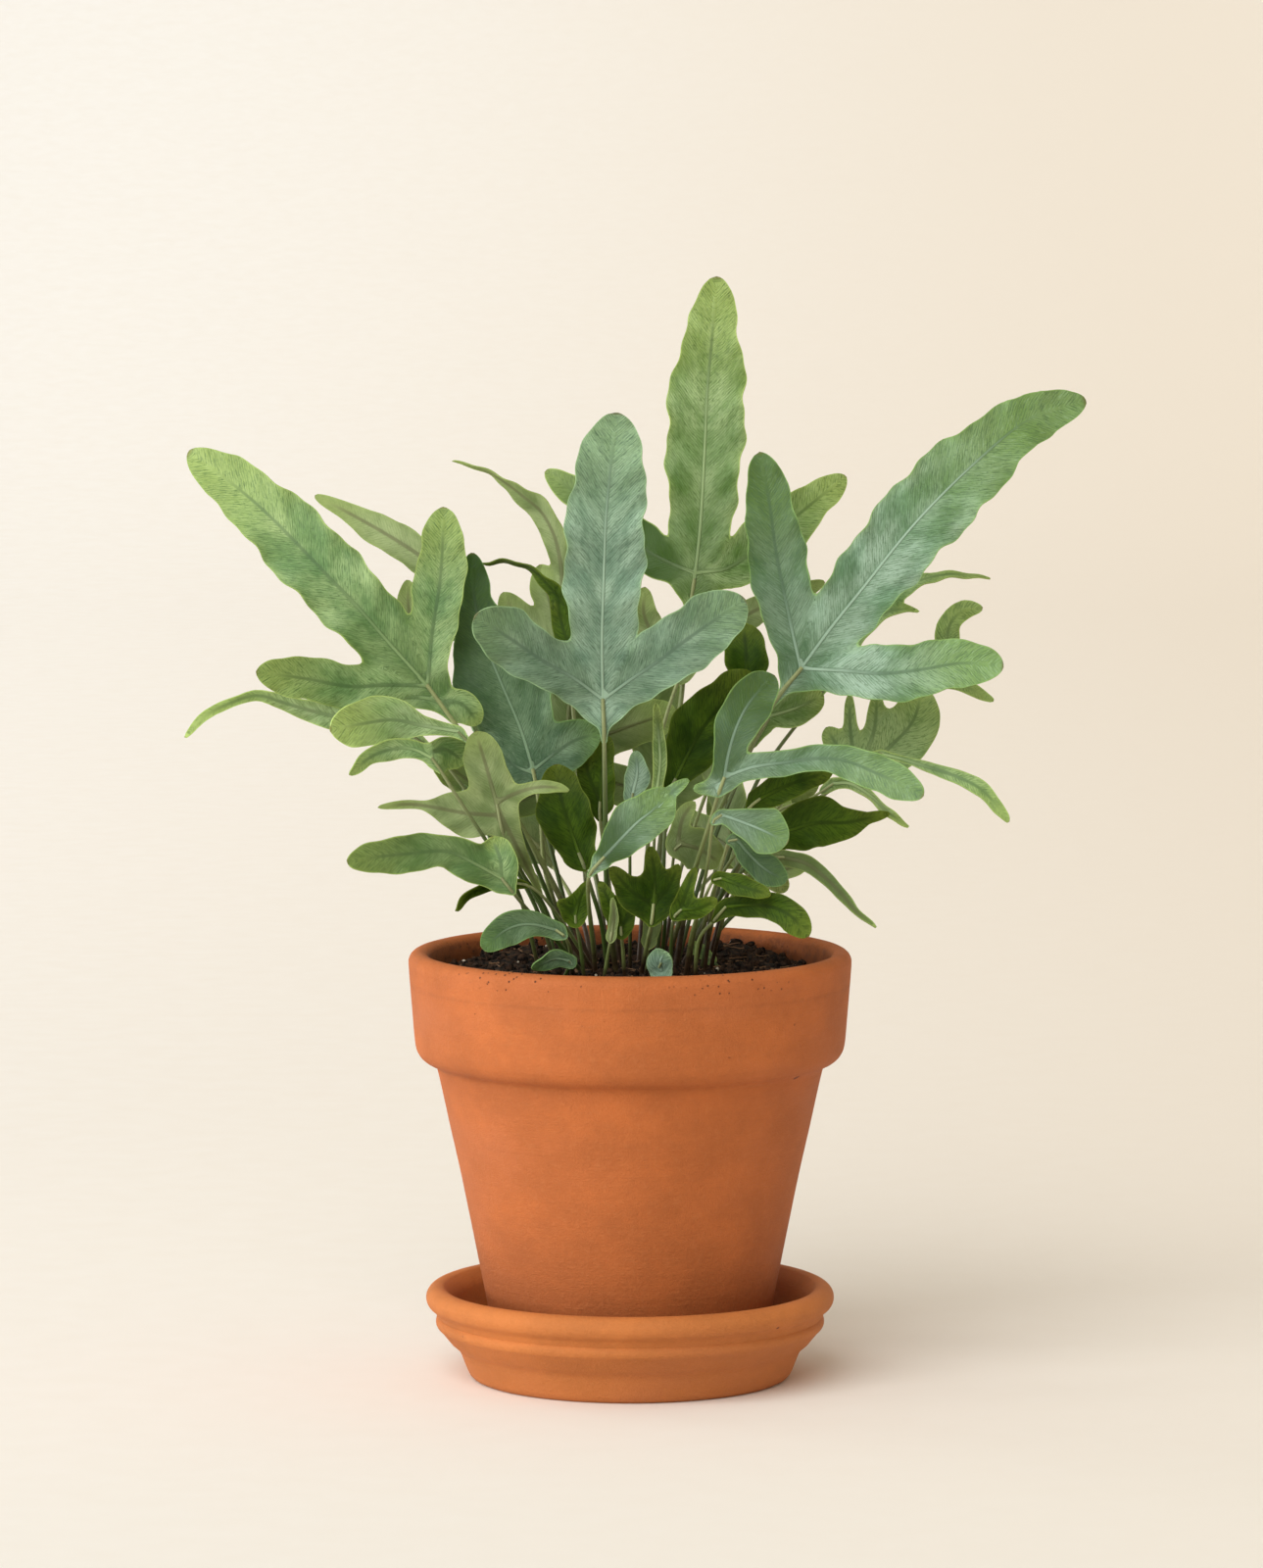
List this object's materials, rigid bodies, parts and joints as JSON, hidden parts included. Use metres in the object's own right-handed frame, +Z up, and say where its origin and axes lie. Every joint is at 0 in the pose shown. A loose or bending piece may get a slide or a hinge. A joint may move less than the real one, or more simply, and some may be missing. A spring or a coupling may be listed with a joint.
{
  "type": "potted blue star fern",
  "caption": "Blue star fern with lobed, wavy blue-green fronds in a plain terracotta pot with a deep collar, standing on a terracotta saucer.",
  "frame": {"origin": "centre of the saucer's underside, on the surface that the plant stands on", "axes": "+Z up along the pot's axis, +Y away from the side that the picture shows, +X to its right"},
  "size_m": [0.314, 0.176, 0.3843],
  "materials": {
    "saucer_clay": "matte unglazed terracotta",
    "pot_clay": "matte unglazed terracotta",
    "potting_soil": "crumbly dark potting mix",
    "blue_leaf": "glaucous blue-green leaf",
    "green_leaf": "mid green leaf",
    "lime_leaf": "yellow-green leaf",
    "olive_leaf": "olive green leaf",
    "dark_leaf": "deep green shaded leaf"
  },
  "bodies": {
    "root": {"saucer": "saucer_clay", "pot": "pot_clay", "soil": "potting_soil", "frond_front_tall": "blue_leaf", "frond_back_tall": "lime_leaf", "frond_right_tall": "blue_leaf", "frond_left_tall": "green_leaf", "frond_left_olive": "olive_leaf", "frond_back_curled": "olive_leaf", "frond_back_edge_on": "dark_leaf", "frond_left_broad": "blue_leaf", "frond_left_strap": "blue_leaf", "frond_left_mid": "green_leaf", "frond_left_droop": "green_leaf", "frond_left_pale": "olive_leaf", "frond_left_low": "green_leaf", "frond_left_underlobe": "dark_leaf", "frond_left_rim": "blue_leaf", "frond_front_rim": "green_leaf", "frond_front_bud": "blue_leaf", "frond_front_pale": "blue_leaf", "frond_right_mid": "blue_leaf", "frond_right_fore": "green_leaf", "frond_right_blue": "blue_leaf", "frond_right_dark": "dark_leaf", "frond_right_low": "olive_leaf", "frond_right_deep": "dark_leaf", "frond_right_twisted": "lime_leaf", "frond_right_hang": "dark_leaf", "frond_right_strap": "green_leaf", "frond_right_back": "green_leaf", "frond_right_far": "green_leaf", "frond_right_backlit": "lime_leaf", "frond_mid_dark": "dark_leaf", "frond_mid_round": "dark_leaf", "frond_mid_sliver": "lime_leaf", "frond_mid_blue": "blue_leaf", "frond_mid_olive": "olive_leaf", "frond_low_dark": "dark_leaf", "frond_low_olive": "olive_leaf", "frond_low_hook": "dark_leaf", "frond_low_broad": "dark_leaf", "frond_low_left": "dark_leaf", "frond_low_mid": "olive_leaf", "frond_low_sliver": "blue_leaf", "frond_low_under": "olive_leaf", "frond_low_young": "green_leaf", "frond_right_under": "dark_leaf", "frond_low_back": "dark_leaf", "frond_behind_1": "green_leaf", "frond_behind_2": "lime_leaf", "frond_behind_3": "green_leaf", "frond_behind_4": "green_leaf", "frond_behind_5": "olive_leaf", "frond_behind_6": "blue_leaf", "frond_behind_7": "blue_leaf", "frond_behind_8": "green_leaf"}
  },
  "joints": []
}
